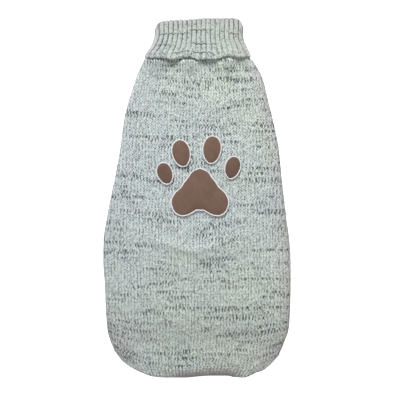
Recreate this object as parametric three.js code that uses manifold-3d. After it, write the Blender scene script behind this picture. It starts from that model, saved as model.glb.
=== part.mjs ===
// Knitted dog sweater with a fold-over rib collar and a paw applique, laid flat with its back up.
// The neck points to +Y, the back to +Z, and the belly side lies on the floor at z = 0. Millimetres.
import * as THREE from "three";
import { mergeVertices } from "three/addons/utils/BufferGeometryUtils.js";
import Module from "manifold-3d";

const wasm = await Module();
wasm.setup();

// Cloth.
const WALL = 2.8;
const SEAM_GAP = 0.3;
const ONE_STEP = WALL + SEAM_GAP;
const TWO_LAYERS = WALL + ONE_STEP;

// Body. Each row is one height along the back, with the garment's two side folds as laid out.
const NECK_SEAM_Y = 165;
const COLLAR_MOUTH_Y = 157.5;
const BELLY_HEM_Y = -134;
const WRAP_SHARE = 0.115;
const BODY_SECTIONS = [
  { y: 154, left: -58.2, right: 59.6 },
  { y: 150.8, left: -59.5, right: 62.9 },
  { y: 142, left: -64, right: 68.4 },
  { y: 135.4, left: -67, right: 71.9 },
  { y: 126.4, left: -69.7, right: 74.8 },
  { y: 108.7, left: -75.6, right: 78.9 },
  { y: 84.3, left: -81.3, right: 84.9 },
  { y: 55.4, left: -85.1, right: 90.7 },
  { y: 24.3, left: -90.8, right: 93.9 },
  { y: -6.7, left: -97.3, right: 97.4 },
  { y: -26.7, left: -100.8, right: 99.8 },
  { y: -46.7, left: -103.8, right: 102.6 },
  { y: -69, left: -104.05, right: 103.9 },
  { y: -91, left: -102.6, right: 104.05 },
  { y: -135.4, left: -100.4, right: 102.8 },
  { y: -148.8, left: -98.8, right: 100.9 },
  { y: -157.6, left: -96.1, right: 97.4 },
  { y: -164.3, left: -93.4, right: 95.2 },
  { y: -169.5, left: -90.9, right: 92.8 },
  { y: -175, left: -88, right: 90.2 },
];

// Side folds: how high the cloth stands where it turns under, and how far in the turn reaches.
const FOLD_SECTIONS = [
  { y: 157, height: TWO_LAYERS, depth: 2.95 },
  { y: 140, height: 7.5, depth: 4.6 },
  { y: 120, height: 9, depth: 6 },
  { y: -120, height: 9, depth: 6 },
  { y: -150, height: 8, depth: 5.4 },
  { y: -175, height: 6.6, depth: 4.4 },
];
const PUFF_REACH = 26;

// The cloth climbs over the collar's lower layer between these heights.
const LIFT_FROM_Y = 136;
const LIFT_TO_Y = 155.5;

// Ridges that the gathered neck seam pushes up below the collar.
const PUCKERS = [
  { x: -50, height: 1, width: 8, reach: 20 },
  { x: -15, height: 2, width: 9, reach: 24 },
  { x: 33, height: 2.2, width: 9, reach: 26 },
  { x: 56, height: 1, width: 7, reach: 18 },
];
const PUCKER_START_Y = 152.5;

// Where the single layer of the tail settles onto the floor, beyond the belly hem and the wraps.
const BELLY_SETTLE = { from: 3, to: 18 };
const WRAP_SETTLE = { from: 2, to: 14 };

// Collar: one rib tube, sewn to the neck, that stands up and folds down outside itself.
const COLLAR_SECTIONS = [
  { y: 199, left: -47.2, right: 51.8 },
  { y: 188.5, left: -47.3, right: 51.8 },
  { y: 181, left: -47.2, right: 51.4 },
  { y: 175, left: -48.2, right: 52 },
  { y: 169, left: -50.6, right: 54.5 },
  { y: 165, left: -53, right: 56.4 },
  { y: 161, left: -56, right: 58.4 },
  { y: 156, left: -58.4, right: 60.2 },
];
const COLLAR_TOP = [
  { x: -47.2, y: 188.5 },
  { x: -44, y: 193 },
  { x: -38, y: 195.8 },
  { x: -30, y: 196.7 },
  { x: -10, y: 197.6 },
  { x: 10, y: 199.15 },
  { x: 38, y: 199.15 },
  { x: 45, y: 198.2 },
  { x: 49, y: 195.5 },
  { x: 51.8, y: 191 },
];
const COLLAR_EDGE = [
  { x: -57.6, y: 158 },
  { x: -52, y: 156.6 },
  { x: -41, y: 155 },
  { x: -30, y: 154.6 },
  { x: -13, y: 156.7 },
  { x: 3.4, y: 154.6 },
  { x: 13, y: 153.5 },
  { x: 28, y: 156 },
  { x: 36.7, y: 157 },
  { x: 47, y: 155.6 },
  { x: 59, y: 157.8 },
];
const COLLAR_UNDER_EDGE_Y = 157.2;
const RIBS = 17;
const RIB_GROOVE = 0.9;

// Tail welt: the double band that finishes the back panel, with its lower edge as laid out.
const WELT_DEPTH = 11;
const WELT_EDGE = [
  { x: -82.7, y: -180.4 },
  { x: -74.2, y: -186.9 },
  { x: -61, y: -193.7 },
  { x: -48, y: -198 },
  { x: -35, y: -199.15 },
  { x: -14, y: -199.15 },
  { x: 0, y: -198 },
  { x: 15, y: -197 },
  { x: 32, y: -197 },
  { x: 42, y: -198.6 },
  { x: 52, y: -199.15 },
  { x: 59, y: -197 },
  { x: 65.5, y: -193.7 },
  { x: 72.3, y: -191.5 },
  { x: 80.3, y: -185.7 },
];
// The welt's section, from its seam (across 0) to its edge (across 1).
const WELT_PROFILE = [
  { across: 0, z: 0 },
  { across: 0.5, z: 0 },
  { across: 0.92, z: 0 },
  { across: 1, z: 1.2 },
  { across: 1, z: 2.9 },
  { across: 0.9, z: 4.3 },
  { across: 0.55, z: 5 },
  { across: 0.15, z: 4.4 },
  { across: 0, z: 3.2 },
];

// Front leg openings in the belly panel.
const LEG_OPENINGS = [
  { x: -32, y: 83, width: 36, length: 60 },
  { x: 32, y: 83, width: 36, length: 60 },
];

// Paw applique: four egg-shaped toes, leaning out, and one three-lobed palm.
const TOES = [
  { x: -35.3, y: 27, across: 7.9, along: 11.7, lean: 20 },
  { x: -17.3, y: 49.3, across: 9.3, along: 14.3, lean: 11 },
  { x: 16.5, y: 53.2, across: 9.4, along: 14.6, lean: -6 },
  { x: 39.3, y: 33.5, across: 7.8, along: 11.9, lean: -16 },
];
const TOE_TAPER = 0.09;
const PALM = { x: 3.4, y: 0 };
const PALM_REACH = [
  { angle: -90, reach: 12.7 },
  { angle: -80, reach: 12.9 },
  { angle: -72, reach: 13.7 },
  { angle: -62, reach: 16.8 },
  { angle: -53, reach: 22.3 },
  { angle: -41, reach: 28.6 },
  { angle: -25, reach: 31.7 },
  { angle: -9, reach: 31.5 },
  { angle: 9, reach: 28 },
  { angle: 31, reach: 23.3 },
  { angle: 57, reach: 25 },
  { angle: 75, reach: 29.8 },
  { angle: 90, reach: 32 },
];
const PAD_THICKNESS = 1.5;
const PAD_LOOPS = [
  { share: 1, rise: 0 },
  { share: 1, rise: 0.7 },
  { share: 0.94, rise: 0.94 },
  { share: 0.55, rise: 1 },
];
// The edging's section: out from the pad's rim, and up from the cloth.
const EDGING_PROFILE = [
  { out: 0.3, up: 0 },
  { out: 1.6, up: 0 },
  { out: 1.75, up: 0.9 },
  { out: 1.3, up: 1.7 },
  { out: 0.6, up: 1.7 },
  { out: 0.3, up: 1.1 },
];

// How finely each piece is divided.
const BODY_ROWS = 35;
const TOP_COLUMNS = 24;
const FOLD_COLUMNS = 5;
const WRAP_COLUMNS = 3;
const END_SHARE = 0.75;
const BELLY_COLUMNS = 8;
const WELT_COLUMNS = 36;
const TOE_POINTS = 24;
const PALM_POINTS = 48;
const OPENING_POINTS = 28;

const { clamp, degToRad, lerp, smoothstep } = THREE.MathUtils;

// A smooth curve through a table's rows that never swings past them.
function smoothTable(rows, key, value) {
  const ordered = [...rows].sort((a, b) => a[key] - b[key]);
  const at = ordered.map((row) => row[key]);
  const values = ordered.map((row) => row[value]);
  const slopes = at.slice(1).map((next, i) => (values[i + 1] - values[i]) / (next - at[i]));
  const tangents = at.map((_, i) => {
    const before = slopes[Math.max(i - 1, 0)];
    const after = slopes[Math.min(i, slopes.length - 1)];
    return before * after <= 0 ? 0 : (2 * before * after) / (before + after);
  });
  return (wanted) => {
    const place = clamp(wanted, at[0], at[at.length - 1]);
    let i = 0;
    while (i < slopes.length - 1 && place > at[i + 1]) i += 1;
    const span = at[i + 1] - at[i];
    const t = (place - at[i]) / span;
    const rise = t * t * (3 - 2 * t);
    const leave = t * (1 - t) * (1 - t) * span * tangents[i];
    const arrive = t * t * (t - 1) * span * tangents[i + 1];
    return lerp(values[i], values[i + 1], rise) + leave + arrive;
  };
}

const collarLeft = smoothTable(COLLAR_SECTIONS, "y", "left");
const collarRight = smoothTable(COLLAR_SECTIONS, "y", "right");
const collarTop = smoothTable(COLLAR_TOP, "x", "y");
const collarEdge = smoothTable(COLLAR_EDGE, "x", "y");
const weltEdge = smoothTable(WELT_EDGE, "x", "y");
const foldHeight = smoothTable(FOLD_SECTIONS, "y", "height");
const foldDepth = smoothTable(FOLD_SECTIONS, "y", "depth");

// Under the collar's flap the body is a little narrower than the flap's inside.
const UNDER_FLAP = ONE_STEP + SEAM_GAP;
const mouthRow = {
  y: COLLAR_MOUTH_Y,
  left: collarLeft(COLLAR_MOUTH_Y) + UNDER_FLAP,
  right: collarRight(COLLAR_MOUTH_Y) - UNDER_FLAP,
};
const openBodyLeft = smoothTable([mouthRow, ...BODY_SECTIONS], "y", "left");
const openBodyRight = smoothTable([mouthRow, ...BODY_SECTIONS], "y", "right");

function bodyLeft(y) {
  return y > COLLAR_MOUTH_Y ? collarLeft(y) + UNDER_FLAP : openBodyLeft(y);
}

function bodyRight(y) {
  return y > COLLAR_MOUTH_Y ? collarRight(y) - UNDER_FLAP : openBodyRight(y);
}

// A closed body from points and triangles, turned if needed so that its faces point out.
function closedBody(points, faces) {
  let volume = 0;
  for (const [a, b, c] of faces) {
    volume += points[a].dot(points[b].clone().cross(points[c]));
  }
  const facing = volume < 0 ? faces.map(([a, b, c]) => [a, c, b]) : faces;
  const geometry = new THREE.BufferGeometry();
  geometry.setFromPoints(points);
  geometry.setIndex(facing.flat());
  geometry.computeVertexNormals();
  return geometry;
}

// The two triangles of each cell between two rows of point numbers.
function strip(near, far) {
  const faces = [];
  for (let i = 0; i < near.length - 1; i += 1) {
    faces.push([near[i], near[i + 1], far[i + 1]], [near[i], far[i + 1], far[i]]);
  }
  return faces;
}

// A wall of cloth between two grids of points with the same rows and columns.
function wallBody(outerRows, innerRows) {
  const rows = outerRows.length;
  const columns = outerRows[0].length;
  const points = [...outerRows.flat(), ...innerRows.flat()];
  const outer = (r, c) => r * columns + c;
  const inner = (r, c) => rows * columns + r * columns + c;
  const along = (side, r) => [...Array(columns).keys()].map((c) => side(r, c));
  const down = (side, c) => [...Array(rows).keys()].map((r) => side(r, c));
  const faces = [];
  for (let r = 0; r < rows - 1; r += 1) {
    faces.push(...strip(along(outer, r), along(outer, r + 1)));
    faces.push(...strip(along(inner, r + 1), along(inner, r)));
  }
  faces.push(...strip(along(inner, 0), along(outer, 0)));
  faces.push(...strip(along(outer, rows - 1), along(inner, rows - 1)));
  faces.push(...strip(down(outer, 0), down(inner, 0)));
  faces.push(...strip(down(inner, columns - 1), down(outer, columns - 1)));
  return closedBody(points, faces);
}

// A body swept through loops of points: a ring if closed, and otherwise capped at both ends.
function loopBody(loops, closed) {
  const size = loops[0].length;
  const points = loops.flat();
  const ring = (l) => [...Array(size + 1).keys()].map((i) => l * size + (i % size));
  const faces = [];
  for (let l = 0; l < loops.length - 1; l += 1) {
    faces.push(...strip(ring(l), ring(l + 1)));
  }
  if (closed) {
    faces.push(...strip(ring(loops.length - 1), ring(0)));
    return closedBody(points, faces);
  }
  for (const end of [0, loops.length - 1]) {
    const centre = new THREE.Vector3();
    loops[end].forEach((point) => centre.addScaledVector(point, 1 / size));
    points.push(centre);
    const edge = ring(end);
    for (let i = 0; i < size; i += 1) {
      const face = [points.length - 1, edge[i], edge[i + 1]];
      faces.push(end === 0 ? face.reverse() : face);
    }
  }
  return closedBody(points, faces);
}

// The welt runs between the two corners where the side folds end.
const weltStart = WELT_EDGE[0];
const weltEnd = WELT_EDGE[WELT_EDGE.length - 1];

function weltSeamY(share) {
  return weltEdge(lerp(weltStart.x, weltEnd.x, share)) + WELT_DEPTH;
}

function tailY(share) {
  return weltSeamY(share) + SEAM_GAP;
}

const NECK_EDGE_Y = NECK_SEAM_Y - SEAM_GAP;

// One row of the body: v is 0 at the neck seam and 1 at the tail welt.
function bodyRow(v) {
  const leftY = lerp(NECK_EDGE_Y, tailY(0), v);
  const rightY = lerp(NECK_EDGE_Y, tailY(1), v);
  const left = bodyLeft(leftY);
  const right = bodyRight(rightY);
  const yAt = (x) => lerp(NECK_EDGE_Y, tailY((x - left) / (right - left)), v);
  return { left, right, leftY, rightY, yAt };
}

function lift(y) {
  return ONE_STEP * smoothstep(y, LIFT_FROM_Y, LIFT_TO_Y);
}

function puckerHeight(x, y) {
  const start = 1 - smoothstep(y, PUCKER_START_Y - 6, PUCKER_START_Y);
  const below = Math.max(PUCKER_START_Y - y, 0);
  const ridges = PUCKERS.map(
    ({ x: at, height, width, reach }) =>
      height * Math.exp(-(((x - at) / width) ** 2)) * Math.exp(-((below / reach) ** 2)),
  );
  return start * ridges.reduce((sum, ridge) => sum + ridge, 0);
}

// The back's outer surface in the middle, where it lies on the belly panel.
function restingTop(x, y) {
  return lift(y) + TWO_LAYERS + puckerHeight(x, y);
}

function backTop(row, x, y) {
  const width = row.right - row.left;
  const fromWrap = Math.min(x - row.left, row.right - x) - WRAP_SHARE * width;
  const onWrap = 1 - smoothstep(fromWrap, WRAP_SETTLE.from, WRAP_SETTLE.to);
  const onBelly = smoothstep(y, BELLY_HEM_Y - BELLY_SETTLE.to, BELLY_HEM_Y - BELLY_SETTLE.from);
  const settled = ONE_STEP * (1 - Math.max(onWrap, onBelly));
  const fromLeft = x - row.left - foldDepth(row.leftY);
  const fromRight = row.right - foldDepth(row.rightY) - x;
  const sideY = fromLeft < fromRight ? row.leftY : row.rightY;
  const fromFold = clamp(Math.min(fromLeft, fromRight) / PUFF_REACH, 0, 1);
  const puff = (foldHeight(sideY) - TWO_LAYERS) * 0.5 * (1 + Math.cos(Math.PI * fromFold));
  const middle = smoothstep(fromFold, 0, 0.4);
  return lift(y) + TWO_LAYERS + middle * puckerHeight(x, y) - settled + puff;
}

// The half turn of a side fold, from the floor up: the wall's outer and inner points.
function foldPoints(row, side, share) {
  const isLeft = side === "left";
  const sideY = isLeft ? row.leftY : row.rightY;
  const inwards = isLeft ? 1 : -1;
  const height = foldHeight(sideY);
  const depth = foldDepth(sideY);
  const turn = Math.PI * share;
  const centre = (isLeft ? row.left : row.right) + inwards * depth;
  const place = (reach, rise) => {
    const x = centre - inwards * reach * Math.sin(turn);
    const y = row.yAt(x);
    return new THREE.Vector3(x, y, lift(y) + height / 2 - rise * Math.cos(turn));
  };
  return { outer: place(depth, height / 2), inner: place(depth - WALL, height / 2 - WALL) };
}

// The wrap lies on the floor between the side fold and its seam with the belly panel.
function wrapPoints(row, side, share) {
  const isLeft = side === "left";
  const width = row.right - row.left;
  const depth = foldDepth(isLeft ? row.leftY : row.rightY);
  const reach = lerp(WRAP_SHARE * width, depth, share);
  const x = isLeft ? row.left + reach : row.right - reach;
  const y = row.yAt(x);
  return {
    outer: new THREE.Vector3(x, y, lift(y)),
    inner: new THREE.Vector3(x, y, lift(y) + WALL),
  };
}

function topPoints(row, share) {
  const from = row.left + foldDepth(row.leftY);
  const to = row.right - foldDepth(row.rightY);
  const x = lerp(from, to, share);
  const y = row.yAt(x);
  const z = backTop(row, x, y);
  return { outer: new THREE.Vector3(x, y, z), inner: new THREE.Vector3(x, y, z - WALL) };
}

// Rows lie closer together towards the neck and the tail, where the shape changes fastest.
function rowPlace(i, count) {
  const t = i / count;
  return (1 - END_SHARE) * t + END_SHARE * 0.5 * (1 - Math.cos(Math.PI * t));
}

function backPanel() {
  const outerRows = [];
  const innerRows = [];
  for (let i = 0; i <= BODY_ROWS; i += 1) {
    const row = bodyRow(rowPlace(i, BODY_ROWS));
    const pairs = [];
    for (let c = 0; c < WRAP_COLUMNS; c += 1) {
      pairs.push(wrapPoints(row, "left", c / WRAP_COLUMNS));
    }
    for (let c = 0; c < FOLD_COLUMNS; c += 1) {
      pairs.push(foldPoints(row, "left", c / FOLD_COLUMNS));
    }
    for (let c = 0; c <= TOP_COLUMNS; c += 1) {
      pairs.push(topPoints(row, c / TOP_COLUMNS));
    }
    for (let c = FOLD_COLUMNS - 1; c >= 0; c -= 1) {
      pairs.push(foldPoints(row, "right", c / FOLD_COLUMNS));
    }
    for (let c = WRAP_COLUMNS - 1; c >= 0; c -= 1) {
      pairs.push(wrapPoints(row, "right", c / WRAP_COLUMNS));
    }
    outerRows.push(pairs.map((pair) => pair.outer));
    innerRows.push(pairs.map((pair) => pair.inner));
  }
  return wallBody(outerRows, innerRows);
}

// A point of the belly panel's outer face, on body row v, between its two side seams.
function bellyPoint(v, share) {
  const row = bodyRow(v);
  const leftSeam = lerp(row.left, row.right, WRAP_SHARE);
  const rightSeam = lerp(row.right, row.left, WRAP_SHARE);
  const x = lerp(leftSeam + SEAM_GAP, rightSeam - SEAM_GAP, share);
  const y = lerp(row.yAt(leftSeam), row.yAt(rightSeam), share);
  return new THREE.Vector3(x, y, lift(y));
}

// A closed geometry as a solid that can be cut.
function solidOf(geometry) {
  const bare = geometry.clone();
  bare.deleteAttribute("normal");
  bare.deleteAttribute("uv");
  const merged = mergeVertices(bare, 1e-4);
  return new wasm.Manifold(
    new wasm.Mesh({
      numProp: 3,
      vertProperties: merged.attributes.position.array,
      triVerts: new Uint32Array(merged.index.array),
    }),
  );
}

function geometryOf(solid) {
  const mesh = solid.getMesh();
  const geometry = new THREE.BufferGeometry();
  geometry.setAttribute("position", new THREE.BufferAttribute(mesh.vertProperties, 3));
  geometry.setIndex(new THREE.BufferAttribute(mesh.triVerts, 1));
  geometry.computeVertexNormals();
  return geometry;
}

function legOpening({ x, y, width, length }) {
  const shape = new THREE.Shape();
  shape.absellipse(0, 0, width / 2, length / 2, 0, 2 * Math.PI);
  const cutter = new THREE.ExtrudeGeometry(shape, {
    depth: 4 * WALL,
    bevelEnabled: false,
    curveSegments: OPENING_POINTS,
  });
  cutter.translate(x, y, -WALL);
  return solidOf(cutter);
}

function bellyPanel() {
  const hemPlace = (NECK_EDGE_Y - BELLY_HEM_Y) / (NECK_EDGE_Y - tailY(1 - WRAP_SHARE));
  const places = [...Array(BODY_ROWS + 1).keys()].map((i) => rowPlace(i, BODY_ROWS));
  const bellyPlaces = [...places.filter((v) => v < hemPlace), hemPlace];
  const outerRows = bellyPlaces.map((v) =>
    [...Array(BELLY_COLUMNS + 1).keys()].map((c) => bellyPoint(v, c / BELLY_COLUMNS)),
  );
  const innerRows = outerRows.map((row) =>
    row.map((point) => point.clone().setZ(point.z + WALL)),
  );
  const whole = solidOf(wallBody(outerRows, innerRows));
  const cut = LEG_OPENINGS.reduce((rest, hole) => rest.subtract(legOpening(hole)), whole);
  return geometryOf(cut);
}

// The collar's layers are offsets from one flat line: r is 0 between the two standing layers.
const STAND_INNER = SEAM_GAP / 2;
const STAND_OUTER = STAND_INNER + WALL;
const FLAP_INNER = STAND_OUTER + SEAM_GAP;
const FLAP_OUTER = FLAP_INNER + WALL;
const FOLD_CENTRE = (STAND_OUTER + FLAP_INNER) / 2;
const FOLD_RADIUS = FOLD_CENTRE - STAND_INNER;

// The places round the collar: ribs across the top, a half turn at each side, plain below.
function collarPlaces() {
  const places = [];
  const steps = 3 * RIBS;
  for (let i = 0; i <= steps; i += 1) {
    places.push({ share: i / steps, turn: 90, groove: i % 3 === 0 ? RIB_GROOVE : 0 });
  }
  for (const turn of [60, 30, 0, -30, -60]) {
    places.push({ share: 1, turn, groove: 0 });
  }
  for (let i = 8; i >= 0; i -= 1) {
    places.push({ share: i / 8, turn: -90, groove: 0 });
  }
  for (const turn of [240, 210, 180, 150, 120]) {
    places.push({ share: 0, turn, groove: 0 });
  }
  return places;
}

function collarLoop({ share, turn, groove }) {
  const outX = Math.cos(degToRad(turn));
  const outZ = Math.sin(degToRad(turn));
  const xAt = (y, r) => {
    const from = collarLeft(y) + FLAP_OUTER;
    const to = collarRight(y) - FLAP_OUTER;
    return lerp(from, to, share) + r * outX;
  };
  const foldY = collarTop(xAt(NECK_SEAM_Y + 25, FLAP_OUTER)) - FOLD_RADIUS;
  const topEdge = collarEdge(xAt(COLLAR_MOUTH_Y, FLAP_OUTER));
  const edgeY = lerp(COLLAR_UNDER_EDGE_Y, topEdge, 0.5 + 0.5 * outZ);
  const flareY = lerp(edgeY, NECK_SEAM_Y, 0.55);
  const stations = [0, 1 / 3, 2 / 3, 1].map((part) => lerp(NECK_SEAM_Y, foldY, part));
  const down = [...stations].reverse();
  const foldArc = [135, 90, 45].map((angle) => {
    const radius = FOLD_RADIUS - (angle < 135 ? groove : 0);
    return {
      y: foldY + radius * Math.sin(degToRad(angle)),
      r: FOLD_CENTRE + radius * Math.cos(degToRad(angle)),
    };
  });
  const profile = [
    ...stations.map((y) => ({ y, r: STAND_INNER })),
    ...foldArc,
    ...down.map((y) => ({ y, r: FLAP_OUTER - groove })),
    { y: flareY, r: FLAP_OUTER - groove },
    { y: edgeY + 1, r: FLAP_OUTER - 0.5 * groove },
    { y: edgeY, r: FLAP_INNER + 0.5 * WALL },
    { y: edgeY + 0.8, r: FLAP_INNER },
    { y: flareY, r: FLAP_INNER },
    ...stations.map((y) => ({ y, r: FLAP_INNER })),
    { y: foldY + SEAM_GAP / 2, r: FOLD_CENTRE },
    ...down.map((y) => ({ y, r: STAND_OUTER })),
  ];
  return profile.map(({ y, r }) => new THREE.Vector3(xAt(y, r), y, FLAP_OUTER + r * outZ));
}

function collar() {
  return loopBody(collarPlaces().map(collarLoop), true);
}

function tailWelt() {
  const loops = [];
  for (let i = 0; i <= WELT_COLUMNS; i += 1) {
    const share = i / WELT_COLUMNS;
    const seamX = lerp(bodyLeft(weltSeamY(0)), bodyRight(weltSeamY(1)), share);
    const edgeX = lerp(weltStart.x, weltEnd.x, share);
    loops.push(
      WELT_PROFILE.map(
        ({ across, z }) =>
          new THREE.Vector3(
            lerp(seamX, edgeX, across),
            lerp(weltSeamY(share), weltEdge(edgeX), across),
            z,
          ),
      ),
    );
  }
  return loopBody(loops, false);
}

// A toe's rim: an egg, a little wider towards its tip, turned by its lean.
function toeRim({ x, y, across, along, lean }) {
  const centre = new THREE.Vector2(x, y);
  return [...Array(TOE_POINTS).keys()].map((i) => {
    const angle = (2 * Math.PI * i) / TOE_POINTS;
    const wide = across * (1 + TOE_TAPER * Math.sin(angle));
    const rim = new THREE.Vector2(x + wide * Math.cos(angle), y + along * Math.sin(angle));
    return rim.rotateAround(centre, degToRad(lean));
  });
}

function palmRim() {
  const reachAt = smoothTable(PALM_REACH, "angle", "reach");
  return [...Array(PALM_POINTS).keys()].map((i) => {
    const angle = -90 + (360 * i) / PALM_POINTS;
    const reach = reachAt(angle > 90 ? 180 - angle : angle);
    const turn = degToRad(angle);
    return new THREE.Vector2(PALM.x + reach * Math.cos(turn), PALM.y + reach * Math.sin(turn));
  });
}

// A felt pad inside a rim, its underside a seam gap above the cloth that carries it.
function pad(rim, centre) {
  const loops = PAD_LOOPS.map(({ share, rise }) =>
    rim.map((point) => {
      const x = lerp(centre.x, point.x, share);
      const y = lerp(centre.y, point.y, share);
      return new THREE.Vector3(x, y, restingTop(x, y) + SEAM_GAP + rise * PAD_THICKNESS);
    }),
  );
  return loopBody(loops, false);
}

// The bead of edging stitches round a pad.
function edging(rim) {
  const count = rim.length;
  const loops = rim.map((point, i) => {
    const ahead = rim[(i + 1) % count];
    const behind = rim[(i + count - 1) % count];
    const out = new THREE.Vector2(ahead.y - behind.y, behind.x - ahead.x).normalize();
    return EDGING_PROFILE.map(({ out: away, up }) => {
      const x = point.x + away * out.x;
      const y = point.y + away * out.y;
      return new THREE.Vector3(x, y, restingTop(x, y) + SEAM_GAP + up);
    });
  });
  return loopBody(loops, true);
}

const marledYarn = () => new THREE.MeshStandardMaterial({ color: 0xa9b3ac, roughness: 0.95 });
const ribYarn = () => new THREE.MeshStandardMaterial({ color: 0xb2b9b2, roughness: 0.95 });
const brownFelt = () => new THREE.MeshStandardMaterial({ color: 0x785f53, roughness: 0.9 });
const creamThread = () => new THREE.MeshStandardMaterial({ color: 0xe9e5de, roughness: 0.7 });

const sweater = new THREE.Group();

function addPiece(name, geometry, material) {
  const piece = new THREE.Mesh(geometry, material);
  piece.name = name;
  sweater.add(piece);
}

addPiece("back_panel", backPanel(), marledYarn());
addPiece("belly_panel", bellyPanel(), marledYarn());
addPiece("collar", collar(), ribYarn());
addPiece("tail_welt", tailWelt(), marledYarn());

TOES.forEach((toe, i) => {
  const rim = toeRim(toe);
  addPiece(`toe_pad_${i + 1}`, pad(rim, toe), brownFelt());
  addPiece(`toe_edging_${i + 1}`, edging(rim), creamThread());
});
addPiece("palm_pad", pad(palmRim(), PALM), brownFelt());
addPiece("palm_edging", edging(palmRim()), creamThread());

export default sweater;
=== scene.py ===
import math

import bmesh
import bpy
import numpy as np
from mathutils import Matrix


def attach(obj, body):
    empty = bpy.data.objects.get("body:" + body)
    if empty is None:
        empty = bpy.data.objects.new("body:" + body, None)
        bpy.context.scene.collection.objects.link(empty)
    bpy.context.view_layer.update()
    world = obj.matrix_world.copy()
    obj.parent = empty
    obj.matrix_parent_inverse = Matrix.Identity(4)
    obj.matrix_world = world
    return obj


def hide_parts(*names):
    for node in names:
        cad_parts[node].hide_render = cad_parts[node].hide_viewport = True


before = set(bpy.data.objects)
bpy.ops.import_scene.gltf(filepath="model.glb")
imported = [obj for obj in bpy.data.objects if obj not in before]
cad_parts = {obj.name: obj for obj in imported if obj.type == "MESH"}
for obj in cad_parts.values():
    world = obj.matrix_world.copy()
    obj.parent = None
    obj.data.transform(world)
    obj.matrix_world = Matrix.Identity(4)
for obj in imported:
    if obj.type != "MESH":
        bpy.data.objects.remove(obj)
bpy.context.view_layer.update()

# Studio. The sweater lies on a seamless white table, seen from straight above through a long
# lens. A soft light stands beyond its neck and a large faint one beyond its tail, on the right,
# and a pale surround fills the shadows.
MM = 0.001
VIEW_WIDTH = 443.84 * MM
VIEW_CENTRE = (3.4 * MM, -2.2 * MM)
LENS = 100
SENSOR = 36
TABLE_SIZE = 6
TABLE_DROP = 0.2 * MM
TABLE_GLOW = 0.85
SURROUND_STRENGTHS = (0.4, 0.55)
LOW_SURROUND = (1, 0.95, 0.97, 1)
HIGH_SURROUND = (0.98, 1, 1, 1)

bpy.context.scene.view_settings.view_transform = "Standard"
bpy.ops.object.select_all(action="DESELECT")
camera_height = VIEW_WIDTH * LENS / SENSOR
bpy.ops.object.camera_add(location=(*VIEW_CENTRE, camera_height), rotation=(0, 0, 0))
camera = bpy.context.object
camera.data.lens = LENS
camera.data.sensor_width = SENSOR
bpy.context.scene.camera = camera

bpy.ops.mesh.primitive_plane_add(size=TABLE_SIZE, location=(0, 0, -TABLE_DROP))
table = bpy.context.object
table.name = "table_top"
table_paint = bpy.data.materials.new("white_table")
table_paint.use_nodes = True
table_shader = table_paint.node_tree.nodes["Principled BSDF"]
table_shader.inputs["Base Color"].default_value = (0.93, 0.93, 0.93, 1)
table_shader.inputs["Roughness"].default_value = 0.9
table_shader.inputs["Specular IOR Level"].default_value = 0.1
table_shader.inputs["Emission Color"].default_value = (1, 1, 1, 1)
table_shader.inputs["Emission Strength"].default_value = TABLE_GLOW
table.data.materials.append(table_paint)

bpy.context.scene.world = bpy.data.worlds.new("white_surround")
bpy.context.scene.world.use_nodes = True
sky_tree = bpy.context.scene.world.node_tree
sky_place = sky_tree.nodes.new("ShaderNodeTexCoord")
sky_height = sky_tree.nodes.new("ShaderNodeSeparateXYZ")
sky_fade = sky_tree.nodes.new("ShaderNodeMapRange")
sky_fade.inputs["To Min"].default_value = SURROUND_STRENGTHS[0]
sky_fade.inputs["To Max"].default_value = SURROUND_STRENGTHS[1]
sky_colour = sky_tree.nodes.new("ShaderNodeMix")
sky_colour.data_type = "RGBA"
sky_colour.inputs[6].default_value = LOW_SURROUND
sky_colour.inputs[7].default_value = HIGH_SURROUND
sky_tree.links.new(sky_place.outputs["Generated"], sky_height.inputs[0])
sky_tree.links.new(sky_height.outputs["Z"], sky_fade.inputs["Value"])
sky_tree.links.new(sky_fade.outputs["Result"], sky_tree.nodes["Background"].inputs["Strength"])
sky_tree.links.new(sky_height.outputs["Z"], sky_colour.inputs[0])
sky_tree.links.new(sky_colour.outputs[2], sky_tree.nodes["Background"].inputs["Color"])


def soft_light(place, size, power):
    """A square soft light at a place, aimed at the middle of the table."""
    bpy.ops.object.light_add(type="AREA", location=place)
    light = bpy.context.object
    light.rotation_euler = (-light.location).to_track_quat("-Z", "Y").to_euler()
    light.data.size = size
    light.data.energy = power


soft_light(place=(-0.25, 1.3, 0.95), size=0.6, power=30)
soft_light(place=(0.6, -0.9, 1.6), size=1.6, power=4)

# Back panel. Stocking-stitch jersey in pale marled yarn, knitted from the neck to the tail in
# one shaped piece that turns under at both sides and is seamed to the belly panel underneath.
WALL = 2.8
SEAM_GAP = 0.3
ONE_STEP = WALL + SEAM_GAP
TWO_LAYERS = WALL + ONE_STEP
NECK_EDGE_Y = 164.7
COLLAR_MOUTH_Y = 157.5
BELLY_HEM_Y = -134
WRAP_SHARE = 0.115
UNDER_FLAP = ONE_STEP + SEAM_GAP
# y, then x of the left and right side folds.
BODY_SECTIONS = (
    (154, -58.2, 59.6),
    (150.8, -59.5, 62.9),
    (142, -64, 68.4),
    (135.4, -67, 71.9),
    (126.4, -69.7, 74.8),
    (108.7, -75.6, 78.9),
    (84.3, -81.3, 84.9),
    (55.4, -85.1, 90.7),
    (24.3, -90.8, 93.9),
    (-6.7, -97.3, 97.4),
    (-26.7, -100.8, 99.8),
    (-46.7, -103.8, 102.6),
    (-69, -104.05, 103.9),
    (-91, -102.6, 104.05),
    (-135.4, -100.4, 102.8),
    (-148.8, -98.8, 100.9),
    (-157.6, -96.1, 97.4),
    (-164.3, -93.4, 95.2),
    (-169.5, -90.9, 92.8),
    (-175, -88, 90.2),
)
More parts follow.
